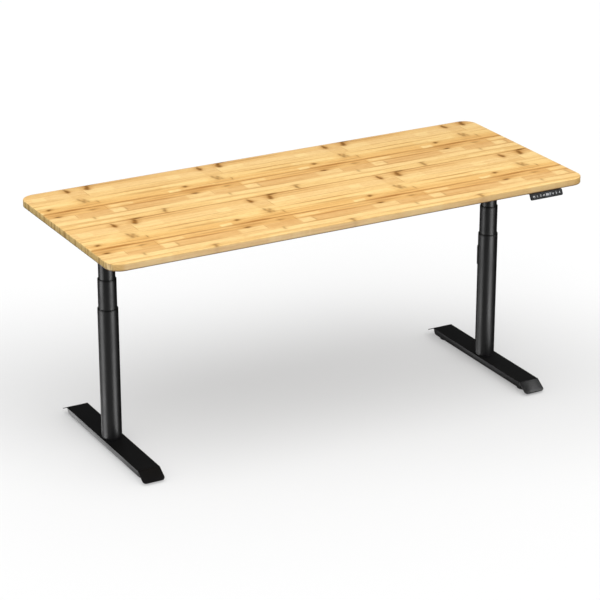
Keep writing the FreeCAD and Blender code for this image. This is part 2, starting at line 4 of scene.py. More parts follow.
import bpy
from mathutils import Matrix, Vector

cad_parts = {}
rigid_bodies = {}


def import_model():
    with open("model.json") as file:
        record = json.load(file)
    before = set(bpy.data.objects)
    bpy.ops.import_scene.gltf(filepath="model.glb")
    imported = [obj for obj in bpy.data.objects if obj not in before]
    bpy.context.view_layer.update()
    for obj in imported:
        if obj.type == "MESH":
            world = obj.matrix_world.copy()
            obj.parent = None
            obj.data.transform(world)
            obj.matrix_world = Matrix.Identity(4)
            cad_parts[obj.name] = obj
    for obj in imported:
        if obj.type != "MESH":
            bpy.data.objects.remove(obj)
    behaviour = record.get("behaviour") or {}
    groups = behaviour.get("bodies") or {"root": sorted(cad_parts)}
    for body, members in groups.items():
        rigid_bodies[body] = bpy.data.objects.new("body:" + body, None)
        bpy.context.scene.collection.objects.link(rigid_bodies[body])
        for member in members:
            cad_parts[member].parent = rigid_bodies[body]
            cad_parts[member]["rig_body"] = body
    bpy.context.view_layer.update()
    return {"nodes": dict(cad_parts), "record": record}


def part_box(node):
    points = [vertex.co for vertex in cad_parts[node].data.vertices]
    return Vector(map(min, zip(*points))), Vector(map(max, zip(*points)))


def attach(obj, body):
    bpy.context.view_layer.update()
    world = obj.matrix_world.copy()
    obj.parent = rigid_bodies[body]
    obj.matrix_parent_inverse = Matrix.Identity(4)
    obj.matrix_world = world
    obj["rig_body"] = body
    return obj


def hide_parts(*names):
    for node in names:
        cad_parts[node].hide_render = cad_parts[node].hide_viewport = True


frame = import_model()
nodes = frame["nodes"]
deskLow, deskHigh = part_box("desktop")
deskMiddleY = (deskLow[1] + deskHigh[1]) / 2


# ---- drawing helpers ----
def clearSelection():
    active = bpy.context.view_layer.objects.active
    if active and active.mode != "OBJECT":
        bpy.ops.object.mode_set(mode="OBJECT")
    bpy.ops.object.select_all(action="DESELECT")


def camelName(node):
    first, *others = node.split("_")
    return first + "".join(word.title() for word in others)


def takeUp(piece):
    clearSelection()
    piece.select_set(True)
    bpy.context.view_layer.objects.active = piece


def nameIt(name):
    piece = bpy.context.object
    piece.name = name
    piece.data.name = name
    bpy.ops.object.transform_apply(location=True, rotation=True, scale=True)
    return piece


def addBlock(name, low, high):
    clearSelection()
    middle = [(a + b) / 2 for a, b in zip(low, high)]
    bpy.ops.mesh.primitive_cube_add(size=1, location=middle)
    bpy.context.object.scale = [b - a for a, b in zip(low, high)]
    return nameIt(name)


def openOutline(name, points):
    # a chain of points drawn by extruding one vertex, left in edit mode
    clearSelection()
    bpy.ops.mesh.primitive_plane_add(size=0.001, location=points[0])
    piece = nameIt(name)
    bpy.context.tool_settings.mesh_select_mode = (True, False, False)
    bpy.ops.object.mode_set(mode="EDIT")
    bpy.ops.mesh.select_all(action="SELECT")
    bpy.ops.mesh.merge(type="CENTER")
    here = points[0]
    for point in points[1:]:
        step = [b - a for a, b in zip(here, point)]
        bpy.ops.mesh.extrude_region_move(TRANSFORM_OT_translate={"value": step})
        here = point
    bpy.ops.mesh.select_all(action="SELECT")
    bpy.ops.mesh.edge_face_add()
    return piece


def addPrism(name, points, run):
    piece = openOutline(name, points)
    bpy.ops.mesh.extrude_region_move(TRANSFORM_OT_translate={"value": run})
    bpy.ops.mesh.select_all(action="SELECT")
    bpy.ops.mesh.normals_make_consistent(inside=False)
    bpy.ops.object.mode_set(mode="OBJECT")
    return piece


def addTurned(name, outline, centre, axis="Z", steps=96):
    # outline is a closed loop of (radius, place along the axis); centre is a point of the axis
    if axis == "Z":
        points = [(centre[0] + r, centre[1], centre[2] + h) for r, h in outline]
        direction = (0, 0, 1)
    else:
        points = [(centre[0] + h, centre[1] + r, centre[2]) for r, h in outline]
        direction = (1, 0, 0)
    piece = openOutline(name, points)
    bpy.ops.mesh.delete(type="ONLY_FACE")
    bpy.ops.mesh.select_all(action="SELECT")
    bpy.ops.mesh.spin(steps=steps, angle=math.tau, center=centre, axis=direction)
    bpy.ops.mesh.select_all(action="SELECT")
    bpy.ops.mesh.remove_doubles(threshold=1e-6)
    bpy.ops.mesh.normals_make_consistent(inside=False)
    bpy.ops.object.mode_set(mode="OBJECT")
    return piece


def unpick(piece, kind):
    takeUp(piece)
    bpy.context.tool_settings.mesh_select_mode = [kind == each for each in ("vertices", "edges", "faces")]
    for group in (piece.data.polygons, piece.data.edges, piece.data.vertices):
        for item in group:
            item.select = False


def pick(piece, test, kind="edges"):
    # selects the edges, vertices or faces whose points all pass a test, and goes to edit mode
    unpick(piece, kind)
    mesh = piece.data
    if kind == "vertices":
        for vertex in mesh.vertices:
            vertex.select = test(vertex.co)
    else:
        for item in mesh.edges if kind == "edges" else mesh.polygons:
            item.select = all(test(mesh.vertices[i].co) for i in item.vertices)
    bpy.ops.object.mode_set(mode="EDIT")


def pickEdges(piece, test):
    # selects the edges whose two ends together pass a test, and goes to edit mode
    unpick(piece, "edges")
    mesh = piece.data
    for edge in mesh.edges:
        a, b = (mesh.vertices[i].co for i in edge.vertices)
        edge.select = bool(test(a, b))
    bpy.ops.object.mode_set(mode="EDIT")


def alongAxis(a, b, axis):
    others = [i for i in range(3) if i != axis]
    return all(abs(a[i] - b[i]) < 1e-6 for i in others)


def bevelPicked(width, segments, affect="EDGES"):
    bpy.ops.mesh.bevel(offset=width, segments=segments, affect=affect, profile=0.5)
    bpy.ops.object.mode_set(mode="OBJECT")


def modify(piece, kind, **settings):
    takeUp(piece)
    modifier = piece.modifiers.new(kind.title(), kind)
    for key, value in settings.items():
        setattr(modifier, key, value)
    bpy.ops.object.modifier_apply(modifier=modifier.name)
    return piece


def softenEdges(piece, width, segments=3, angle=30):
    return modify(piece, "BEVEL", width=width, segments=segments, limit_method="ANGLE",
                  angle_limit=math.radians(angle), use_clamp_overlap=True)


def cutAway(piece, cutter):
    modify(piece, "BOOLEAN", operation="DIFFERENCE", object=cutter, solver="EXACT")
    bpy.data.objects.remove(cutter, do_unlink=True)
    return piece


def joinPieces(main, others):
    clearSelection()
    for other in others:
        other.select_set(True)
    main.select_set(True)
    bpy.context.view_layer.objects.active = main
    bpy.ops.object.join()
    return main


def placePiece(piece, turn, move):
    takeUp(piece)
    piece.rotation_euler = turn
    piece.location = move
    bpy.ops.object.transform_apply(location=True, rotation=True, scale=True)
    return piece


def copyPiece(piece, name, move, turn=(0, 0, 0)):
    twin = piece.copy()
    twin.data = piece.data.copy()
    bpy.context.scene.collection.objects.link(twin)
    twin.name = name
    twin.data.name = name
    return placePiece(twin, turn, move)


def paint(piece, material):
    piece.data.materials.clear()
    piece.data.materials.append(material)
    return piece


def finishPiece(piece, body, replaced, angle=35):
    takeUp(piece)
    bpy.ops.object.shade_smooth_by_angle(angle=math.radians(angle))
    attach(piece, body)
    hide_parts(*replaced)
    return piece


# ---- material helpers ----
def tint(red, green, blue):
    def linear(value):
        value /= 255
        return value / 12.92 if value <= 0.04045 else ((value + 0.055) / 1.055) ** 2.4

    return (linear(red), linear(green), linear(blue), 1.0)


def maths(operation, reflected=False):
    def work(wire, other):
        first, second = (other, wire) if reflected else (wire, other)
        return wire.finish.node("ShaderNodeMath", {"operation": operation}, {0: first, 1: second})

    return work


class Wire:
    def __init__(self, finish, socket):
        self.finish, self.socket = finish, socket

    __add__, __radd__ = maths("ADD"), maths("ADD", True)
    __sub__, __rsub__ = maths("SUBTRACT"), maths("SUBTRACT", True)
    __mul__, __rmul__ = maths("MULTIPLY"), maths("MULTIPLY", True)
    __truediv__ = maths("DIVIDE")


class Finish:
    def __init__(self, name, **sockets):
        self.material = bpy.data.materials.new(name)
        self.material.use_nodes = True
        self.tree = self.material.node_tree
        self.shader = self.tree.nodes["Principled BSDF"]
        for key, value in sockets.items():
            self.put(self.shader.inputs[key.replace("_", " ")], value)

    def put(self, socket, value):
        if isinstance(value, Wire):
            self.tree.links.new(value.socket, socket)
        elif value is not None:
            socket.default_value = value

    def node(self, kind, settings=None, sockets=None, out=0):
        made = self.tree.nodes.new(kind)
        for key, value in (settings or {}).items():
            if key == "stops":
                self.setStops(made.color_ramp, value)
            elif key == "interpolation":
                made.color_ramp.interpolation = value
            else:
                setattr(made, key, value)
        for key, value in (sockets or {}).items():
            self.put(made.inputs[key], value)
        return Wire(self, made.outputs[out])

    def setStops(self, ramp, stops):
        while len(ramp.elements) > len(stops):
            ramp.elements.remove(ramp.elements[-1])
        while len(ramp.elements) < len(stops):
            ramp.elements.new(1.0)
        for element, (place, colour) in zip(ramp.elements, stops):
            element.position = place
            element.color = colour

    def feed(self, **wires):
        for key, value in wires.items():
            self.put(self.shader.inputs[key.replace("_", " ")], value)

    def place(self):
        return self.node("ShaderNodeTexCoord", out="Object")

    def part(self, vector, axis):
        return self.node("ShaderNodeSeparateXYZ", {}, {0: vector}, axis)

    def combined(self, x, y, z):
        return self.node("ShaderNodeCombineXYZ", {}, {0: x, 1: y, 2: z})

    def vector(self, operation, first, second=None, out=0):
        return self.node("ShaderNodeVectorMath", {"operation": operation}, {0: first, 1: second}, out)

    def noise(self, vector, scale, detail=3.0, roughness=0.5, distortion=0.0):
        return self.node("ShaderNodeTexNoise", {"noise_dimensions": "3D"},
                         {"Vector": vector, "Scale": scale, "Detail": detail, "Roughness": roughness,
                          "Distortion": distortion}, out=0)

    def smooth(self, value, low, high, fromLow=0.0, fromHigh=1.0):
        return self.node("ShaderNodeMapRange", {"interpolation_type": "SMOOTHSTEP"},
                         {"Value": value, "From Min": low, "From Max": high, "To Min": fromLow,
                          "To Max": fromHigh})

    def blend(self, mask, under, over):
        made = self.tree.nodes.new("ShaderNodeMix")
        made.data_type = "RGBA"
        self.put(made.inputs["Factor"], mask)
        colours = [s for s in made.inputs if s.type == "RGBA"]
        self.put(colours[0], under)
        self.put(colours[1], over)
        return Wire(self, [s for s in made.outputs if s.type == "RGBA"][0])

    def bump(self, height, strength, distance):
        return self.node("ShaderNodeBump", {}, {"Height": height, "Strength": strength, "Distance": distance})


# ---- wood of the desktop ----
woodValues = {
    "tile": (0.5025, 0.385),  # the lay of staves repeats after this length and depth
    "strip": 0.0428,
    "pale": tint(251, 220, 152),
    # painted shade: a darker tone for the front and back edges, which get less light than the top
    "edgeTone": tint(226, 180, 112),
    "darkGrain": tint(203, 146, 76),
    "knot": tint(150, 100, 34),
    "knotCore": tint(106, 66, 16),
    "lowerLine": tint(120, 78, 38),  # painted shade along the lower arris of the edges
    "streak": tint(180, 119, 48),
    # tone of each strip of the tile, from the back
    "strips": [(239, 197, 128), (244, 206, 140), (246, 208, 138), (245, 204, 129), (239, 192, 116),
               (236, 189, 116), (235, 191, 125), (245, 207, 139), (243, 204, 132)],
    # place along and across the tile, half length, half depth, strength
    "knots": [(0.163, 0.036, 0.008, 0.012, 0.95), (0.161, 0.022, 0.005, 0.012, 0.75),
              (0.237, 0.036, 0.009, 0.013, 0.95), (0.243, 0.018, 0.007, 0.012, 0.9),
              (0.257, 0.002, 0.020, 0.006, 1.0), (0.0385, 0.174, 0.010, 0.007, 0.8),
              (0.034, 0.182, 0.006, 0.004, 0.6), (0.036, 0.253, 0.013, 0.006, 0.95),
              (0.373, 0.362, 0.007, 0.018, 0.55), (0.377, 0.343, 0.013, 0.004, 0.5),
              (0.166, 0.130, 0.006, 0.013, 0.45), (0.182, 0.137, 0.006, 0.012, 0.4),
              (0.172, 0.152, 0.008, 0.013, 0.5), (0.187, 0.156, 0.005, 0.008, 0.35),
              (0.140, 0.315, 0.005, 0.013, 0.35), (0.165, 0.238, 0.018, 0.006, 0.4),
              (0.270, 0.281, 0.004, 0.018, 0.22), (0.216, 0.172, 0.003, 0.012, 0.45)],
    "bending": 10,  # how many of the knots push the grain aside
    "streaks": [(0.240, 0.214, 0.250, 0.0048, 0.85), (0.100, 0.212, 0.050, 0.0075, 0.9),
                (0.030, 0.215, 0.050, 0.010, 0.5), (0.391, 0.126, 0.130, 0.0036, 0.75),
                (0.360, 0.256, 0.130, 0.0050, 0.75), (0.301, 0.305, 0.150, 0.0040, 0.65),
                (0.330, 0.385, 0.180, 0.0042, 0.85), (0.080, 0.385, 0.110, 0.0034, 0.65),
                (0.060, 0.236, 0.055, 0.0080, 0.55), (0.340, 0.018, 0.120, 0.005, 0.45),
                (0.420, 0.160, 0.100, 0.007, 0.5), (0.170, 0.190, 0.080, 0.003, 0.5),
                (0.440, 0.236, 0.070, 0.006, 0.4), (0.100, 0.343, 0.100, 0.003, 0.4),
                (0.060, 0.100, 0.100, 0.003, 0.3), (0.430, 0.085, 0.120, 0.003, 0.3),
                (0.240, 0.345, 0.060, 0.003, 0.35)],
    # stave ends: middle along and across, half length, half depth, strength
    "paleStaves": [(0.2435, 0.279, 0.0235, 0.019, 0.62), (0.045, 0.068, 0.024, 0.018, 0.5),
                   (0.268, 0.066, 0.052, 0.020, 0.4), (0.488, 0.200, 0.022, 0.011, 0.75),
                   (0.300, 0.146, 0.150, 0.010, 0.3), (0.045, 0.276, 0.048, 0.018, 0.5),
                   (0.110, 0.323, 0.110, 0.011, 0.5), (0.050, 0.146, 0.085, 0.013, 0.55),
                   (0.270, 0.235, 0.045, 0.011, 0.5), (0.340, 0.325, 0.150, 0.012, 0.3),
                   (0.135, 0.363, 0.078, 0.009, 0.5)],
    "darkStaves": [(0.186, 0.078, 0.030, 0.031, 0.22), (0.180, 0.182, 0.036, 0.020, 0.2),
                   (0.186, 0.243, 0.030, 0.026, 0.28), (0.155, 0.280, 0.061, 0.020, 0.22),
                   (0.420, 0.279, 0.150, 0.021, 0.22), (0.350, 0.026, 0.130, 0.016, 0.15)],
    # cells per metre along and across the grain, step from strip to strip, detail, waviness
    "grain": {"broad": (2.6, 75.0, 3.7, 4.0, 0.35), "fine": (8.0, 330.0, 5.1, 3.0, 0.0),
              "pores": (38.0, 1500.0, 1.0, 2.0, 0.0), "fleck": (60.0, 150.0, 1.3, 2.0, 0.0)},
    # butt joints: place along the tile, middle across it, half length across it
    "joints": [(0.2155, 0.078, 0.031), (0.2155, 0.246, 0.025), (0.093, 0.277, 0.019)],
}


def makeWood():
    v = woodValues
    wood = Finish("lacqueredPine", Coat_Weight=0.12, Coat_Roughness=0.3, Specular_IOR_Level=0.3)
    spot = wood.place()
    along = wood.part(spot, 0) - deskLow[0]
    depth = deskHigh[1] - wood.part(spot, 1)
    height = wood.part(spot, 2)
    facing = wood.node("ShaderNodeTexCoord", out="Normal")
    facingX = wood.part(facing, 0)
    facingY = wood.part(facing, 1)
    endFace = wood.smooth(facingX * facingX, 0.45, 0.6)
    longFace = wood.smooth(facingY * facingY, 0.45, 0.6)
    onTop = 1.0 - longFace * 0.8
    # wavering lines, so that no figure is a ruled oval
    stretched = wood.combined(along * 9.0, depth * 34.0, 0.37)
    waver = wood.node("ShaderNodeTexNoise", {}, {"Vector": stretched, "Scale": 1.0, "Detail": 3.0}, out=1)
    waver = wood.vector("SUBTRACT", waver, (0.5, 0.5, 0.5))
    waver = wood.vector("MULTIPLY", waver, (0.016, 0.010, 0.0))
    flat = wood.combined(along, depth, 0.0)
    spread = wood.vector("ADD", flat, waver)
    slight = wood.vector("ADD", flat, wood.vector("MULTIPLY", waver, (0.5, 0.4, 0.0)))
    halfTile = (v["tile"][0] / 2, v["tile"][1] / 2, 1.0)

    def gap(figure, source):
        # distance from a figure of the repeating lay, 1 at its rim
        x, y, rx, ry = figure[:4]
        offset = wood.vector("SUBTRACT", source, (x, y, 0.0))
        wrapped = wood.node("ShaderNodeVectorMath", {"operation": "WRAP"},
                            {0: offset, 1: halfTile, 2: [-h for h in halfTile]})
        return wood.vector("MULTIPLY", wrapped, (1 / rx, 1 / ry, 0.0))

    def mask(figure, source, rim):
        size = wood.vector("LENGTH", gap(figure, source), out="Value")
        return wood.smooth(size, 1.0 + rim, 1.0 - rim, 0.0, figure[4])

    patchSpot = wood.combined(along * 30.0, depth * 95.0, 4.1)
    patchiness = wood.smooth(wood.noise(patchSpot, 1.0, 3.0, 0.6), 0.30, 0.62, 0.35, 1.15)

    def stave(figure, rim):
        # crisper across the strip than along it
        apart = wood.vector("ABSOLUTE", gap(figure, slight))
        ends = wood.part(apart, 0)
        rims = wood.part(apart, 1)
        inside = wood.smooth(ends, 1.0 + rim, 1.0 - rim, 0.0, figure[4]) * wood.smooth(rims, 1.2, 0.8)
        return inside * patchiness

    # grain lines part round the knots
    bent = depth
    for figure in v["knots"][:v["bending"]]:
        wide = (figure[0], figure[1], figure[2] * 4.0, figure[3] * 2.4)
        scaled = gap(wide, flat)
        size = wood.vector("LENGTH", scaled, out="Value")
        push = wood.part(scaled, 1)
        bent = bent - push * wood.smooth(size, 1.3, 0.0, 0.0, figure[3] * 1.2)

    stripPlace = wood.node("ShaderNodeMath", {"operation": "FRACT"}, {0: depth / v["tile"][1]})
    stops = [(k / 9, tint(*tone)) for k, tone in enumerate(v["strips"])]
    colour = wood.node("ShaderNodeValToRGB", {"interpolation": "CONSTANT", "stops": stops}, {0: stripPlace})

    # each strip has its own grain: its number moves the noise
    number = wood.node("ShaderNodeMath", {"operation": "FLOOR"}, {0: depth / v["strip"]})
    bent = bent + (height - deskHigh[2]) * longFace

    def grain(kind):
        lengthwise, crosswise, perStrip, detail, waviness = v["grain"][kind]
        figure = wood.combined(along * lengthwise, bent * crosswise, number * perStrip)
        return wood.noise(figure, 1.0, detail, 0.6, waviness)

    broadGrain, fineGrain, poreGrain, mottle = [grain(kind) for kind in ("broad", "fine", "pores", "fleck")]

    colour = wood.blend(wood.smooth(broadGrain, 0.28, 0.50, 0.45, 0.0), colour, v["pale"])
    colour = wood.blend(wood.smooth(broadGrain, 0.50, 0.76, 0.0, 0.55), colour, v["darkGrain"])
    colour = wood.blend(wood.smooth(mottle, 0.35, 0.75, 0.0, 0.22), colour, v["darkGrain"])
    colour = wood.blend(wood.smooth(fineGrain, 0.46, 0.78, 0.0, 0.50), colour, v["darkGrain"])
    colour = wood.blend(wood.smooth(poreGrain, 0.58, 0.80, 0.0, 0.30), colour, v["streak"])
    for figure in v["darkStaves"]:
        colour = wood.blend(stave(figure, 0.15), colour, v["darkGrain"])
    for figure in v["paleStaves"]:
        colour = wood.blend(stave(figure, 0.15), colour, v["pale"])
    for figure in v["streaks"]:
        colour = wood.blend(mask(figure, spread, 0.75), colour, v["streak"])
    for x, y, reach in v["joints"]:
        line = mask((x, y, 0.0012, reach, 0.6), flat, 0.3)
        colour = wood.blend(line, colour, v["streak"])
    for figure in v["knots"]:
        halo = (figure[0], figure[1], figure[2] * 2.4, figure[3] * 1.5, figure[4] * 0.35)
        colour = wood.blend(mask(halo, spread, 0.9), colour, v["streak"])
        colour = wood.blend(mask(figure, spread, 0.75) * onTop, colour, v["knot"])
        core = (figure[0], figure[1], figure[2] * 0.5, figure[3] * 0.6, figure[4] * 0.55)
        colour = wood.blend(mask(core, spread, 0.8) * onTop, colour, v["knotCore"])

    # glue lines between the strips
    within = wood.node("ShaderNodeMath", {"operation": "FRACT"}, {0: depth / v["strip"]})
    middle = within - 0.5
    glue = wood.smooth(middle * middle, 0.2375, 0.2495, 0.0, 0.22)
    colour = wood.blend(glue, colour, v["streak"])

    # end grain on the two short edges: rings and darker bars, on a paler base that is painted light, making
    # up for the little light these faces get
    ringSpot = wood.combined(number * 2.3, depth * 70.0, height * 260.0)
    rings = wood.node("ShaderNodeTexWave", {"wave_type": "RINGS", "rings_direction": "X"},
                      {"Vector": ringSpot, "Scale": 0.55, "Distortion": 2.4, "Detail": 2.0}, out=1)
    endGrainAndLight = wood.blend(wood.smooth(rings, 0.2, 0.9, 0.0, 0.32), tint(255, 226, 150), v["streak"])
    barSpot = wood.combined(depth * 62.0, height * 9.0, 0.7)
    bars = wood.smooth(wood.noise(barSpot, 1.0, 2.0, 0.55), 0.48, 0.62, 0.0, 0.62)
    endGrainAndLight = wood.blend(bars, endGrainAndLight, v["knot"])
    colour = wood.blend(endFace * 0.7, colour, endGrainAndLight)
    # painted shade: the front and back edges are blended towards a darker tone
    colour = wood.blend(longFace * 0.35, colour, v["edgeTone"])
    # painted shade: the edges darken at their lower arris, where a thin shadow line falls; the underside
    # doesn't
    facingZ = wood.part(facing, 2)
    sideways = wood.smooth(facingZ * facingZ, 0.98, 0.9, 0.0, 0.75)
    lower = wood.smooth(height - deskLow[2], 0.0052, 0.0028)
    colour = wood.blend(sideways * lower, colour, v["lowerLine"])
    grainHeight = fineGrain * 0.7 + poreGrain * 0.5
    gloss = wood.smooth(fineGrain, 0.3, 0.75, 0.36, 0.5)
    wood.feed(Base_Color=colour, Roughness=gloss, Normal=wood.bump(grainHeight, 0.25, 0.0004))
    return wood.material


# ---- other finishes ----
def powderCoat(name, colour, rough=0.42, metal=0.0, peel=1.0):
    coat = Finish(name, Metallic=metal, Specular_IOR_Level=0.5)
    spot = coat.place()
    grain = coat.noise(spot, 1400.0, 2.0, 0.6)
    wave = coat.noise(spot, 260.0, 2.0, 0.5)
    cloud = coat.noise(spot, 9.0, 3.0, 0.55)
    lighter = tuple(min(1.0, c * 1.25 + 0.002) for c in colour[:3]) + (1.0,)
    tone = coat.blend(coat.smooth(grain, 0.42, 0.7, 0.0, 0.6), colour, lighter)
    coat.feed(Base_Color=tone, Roughness=coat.smooth(cloud, 0.3, 0.7, rough - 0.03, rough + 0.04),
              Normal=coat.bump(grain * 0.6 + wave * 0.8, 0.16 * peel, 0.0003))
    return coat.material


def mouldedPlastic(name, colour, rough=0.5, texture=0.2):
    plastic = Finish(name, Specular_IOR_Level=0.5)
    spot = plastic.place()
    spark = plastic.noise(spot, 2600.0, 2.0, 0.7)
    cloud = plastic.noise(spot, 30.0, 2.0, 0.5)
    lighter = tuple(min(1.0, c * 1.15 + 0.001) for c in colour[:3]) + (1.0,)
    plastic.feed(Base_Color=plastic.blend(spark, colour, lighter),
                 Roughness=plastic.smooth(cloud, 0.3, 0.7, rough - 0.04, rough + 0.05),
                 Normal=plastic.bump(spark, texture, 0.0002))
    return plastic.material


def bareMetal(name, colour, rough):
    alloy = Finish(name, Metallic=1.0)
    spot = alloy.place()
    drawn = alloy.noise(alloy.vector("MULTIPLY", spot, (400.0, 400.0, 30.0)), 1.0, 3.0, 0.6)
    cloud = alloy.noise(spot, 40.0, 3.0, 0.5)
    darker = tuple(c * 0.72 for c in colour[:3]) + (1.0,)
    alloy.feed(Base_Color=alloy.blend(cloud, darker, colour),
               Roughness=alloy.smooth(drawn, 0.3, 0.7, rough - 0.08, rough + 0.1),
               Normal=alloy.bump(drawn, 0.12, 0.0002))
    return alloy.material


def circuitBoard(name):
    board = Finish(name, Roughness=0.4)
    spot = board.place()
    cells = board.node("ShaderNodeTexVoronoi", {"feature": "DISTANCE_TO_EDGE"},
                       {"Vector": spot, "Scale": 160.0})
    tracks = board.smooth(cells, 0.04, 0.09, 0.7, 0.0)
    board.feed(Base_Color=board.blend(tracks, tint(18, 58, 34), tint(66, 110, 62)))
    return board.material


wood = makeWood()
frameSteel = powderCoat("blackPowderCoat", tint(21, 21, 22))
# painted shade: the feet take a darker copy of the frame's black coat, so that their shaded flaps come out
# darker
shadedFootSteel = powderCoat("footPowderCoat", tint(14, 14, 15), rough=0.4)
blackPlastic = mouldedPlastic("blackCollarPlastic", tint(12, 12, 13), rough=0.45, texture=0.1)
glidePlastic = mouldedPlastic("acetalGlide", tint(205, 203, 196), rough=0.4)
screwSteel = bareMetal("groundScrewSteel", tint(150, 152, 156), rough=0.28)
castAlloy = powderCoat("blackCastHousing", tint(34, 34, 36), rough=0.55, peel=2.2)
motorSteel = powderCoat("motorCan", tint(24, 24, 26), rough=0.3, metal=0.4, peel=0.5)
padRubber = mouldedPlastic("levellerPad", tint(20, 20, 21), rough=0.72, texture=0.4)
fastenerSteel = bareMetal("blackZincFastener", tint(62, 62, 66), rough=0.34)
boardGreen = circuitBoard("circuitBoardGreen")
cableRubber = mouldedPlastic("cableSheath", tint(22, 22, 23), rough=0.55, texture=0.15)
handsetPlastic = mouldedPlastic("handsetShell", tint(26, 26, 28), rough=0.48, texture=0.25)
handsetGloss = mouldedPlastic("handsetPanel", tint(52, 53, 54), rough=0.34, texture=0.03)
keyPlastic = mouldedPlastic("keyCap", tint(50, 51, 52), rough=0.42, texture=0.08)
inkGrey = mouldedPlastic("printedSymbol", tint(232, 233, 235), rough=0.5, texture=0.02)
glassBlack = mouldedPlastic("displayWindow", tint(74, 77, 82), rough=0.2, texture=0.01)

slotFinish = {
    "wood_top": wood, "frame_steel": frameSteel, "black_plastic": blackPlastic, "glide_plastic": glidePlastic,
    "screw_steel": screwSteel, "cast_alloy": castAlloy, "motor_steel": motorSteel, "pad_rubber": padRubber,
    "fastener_steel": fastenerSteel, "circuit_board": boardGreen, "cable_rubber": cableRubber,
    "handset_plastic": handsetPlastic, "handset_gloss": handsetGloss, "key_plastic": keyPlastic,
}
print("finishes ready")


# every CAD node first takes the finish of its material slot; many are replaced below
for entry in frame["record"]["subparts"]:
    paint(nodes[entry["node"]], slotFinish[entry["material_slot"]])
print("frame painted")


# ---- desktop ----
desktopValues = {"corner": 0.050, "arris": 0.003, "cornerSteps": 20, "arrisSteps": 4}


def makeDesktop():
    v = desktopValues
    board = addBlock("desktopBoard", deskLow, deskHigh)
    pickEdges(board, lambda a, b: alongAxis(a, b, 2))
    bevelPicked(v["corner"], v["cornerSteps"])
    pickEdges(board, lambda a, b: abs(a.z - b.z) < 1e-6)
    bevelPicked(v["arris"], v["arrisSteps"])
    paint(board, wood)
    return finishPiece(board, "top", ["desktop"], 40)


makeDesktop()
print("desktop made")

# ---- columns ----
columnValues = {
    "outer": {"radius": 0.035, "wall": 0.0018},
    "middle": {"radius": 0.0318, "wall": 0.0016},
    "inner": {"radius": 0.0285, "wall": 0.0016},
    "edge": 0.0004,  # rounding of a cut tube end
    "lip": 0.004, "lipRound": 0.0011, "slideGap": 0.0003,
    "steps": 128,
}


def makeTube(name, node, stage):
    v = columnValues
    low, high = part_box(node)
    radius, wall, edge = v[stage]["radius"], v[stage]["wall"], v["edge"]
    bore = radius - wall
    z0, z1 = low[2], high[2]
    outline = [(bore, z0 + edge), (bore, z1 - edge), (bore + edge, z1), (radius - edge, z1),
               (radius, z1 - edge), (radius, z0 + edge), (radius - edge, z0), (bore + edge, z0)]
    centre = ((low[0] + high[0]) / 2, (low[1] + high[1]) / 2, 0.0)
    return paint(addTurned(name, outline, centre, steps=v["steps"]), frameSteel)


def makeCollar(name, node, stage, inside):
    v = columnValues
    low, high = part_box(node)
    radius, bore = v[stage]["radius"], v[stage]["radius"] - v[stage]["wall"]
    slide = v[inside]["radius"] + v["slideGap"]
    rim, lip, soft = high[2], v["lip"], v["lipRound"]
    outline = [(slide, low[2] + 0.001), (slide, rim - 0.0012), (slide + 0.0004, rim - 0.0005),
               (slide + 0.0009, rim - 0.0001), (radius - soft, rim)]
    for k in range(1, 5):
        angle = k * math.pi / 8
        outline.append((radius - soft + soft * math.sin(angle), rim - soft + soft * math.cos(angle)))
    outline += [(radius, rim - lip + 0.0003), (radius - 0.0003, rim - lip), (bore, rim - lip), (bore, low[2])]
    centre = ((low[0] + high[0]) / 2, (low[1] + high[1]) / 2, 0.0)
    return paint(addTurned(name, outline, centre, steps=v["steps"]), blackPlastic)


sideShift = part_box("right_foot")[0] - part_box("left_foot")[0]


def bothSides(piece, node, body, angle=35):
    # finishes a piece of the left leg and its copy on the right leg
    twin = copyPiece(piece, piece.name.replace("left", "right"), sideShift)
    finishPiece(piece, body, [node], angle)
    finishPiece(twin, body.replace("left", "right"), [node.replace("left", "right")], angle)


bothSides(makeTube("leftOuterTube", "left_outer_tube", "outer"), "left_outer_tube", "base")
bothSides(makeTube("leftMiddleTube", "left_middle_tube", "middle"), "left_middle_tube", "left_middle")
bothSides(makeTube("leftInnerTube", "left_inner_tube", "inner"), "left_inner_tube", "top")
bothSides(makeCollar("leftOuterCollar", "left_outer_collar", "outer", "middle"), "left_outer_collar", "base")
bothSides(makeCollar("leftMiddleCollar", "left_middle_collar", "middle", "inner"), "left_middle_collar",
          "left_middle")
print("columns made")

# ---- feet: one bent sheet each, with bosses for the levellers ----
footValues = {
    "width": 0.080, "flat": 0.580, "wallShort": 0.002, "wall": 0.026, "lean": 0.0055, "sheet": 0.003,
    "flapRun": 0.045, "frontDrop": 0.029, "rearDrop": 0.022, "flapCorner": 0.012, "wallCorner": 0.010,
    "fold": 0.0016, "edge": 0.0004, "bossRadius": 0.008, "boss": 0.012, "levellerY": 0.260,
}


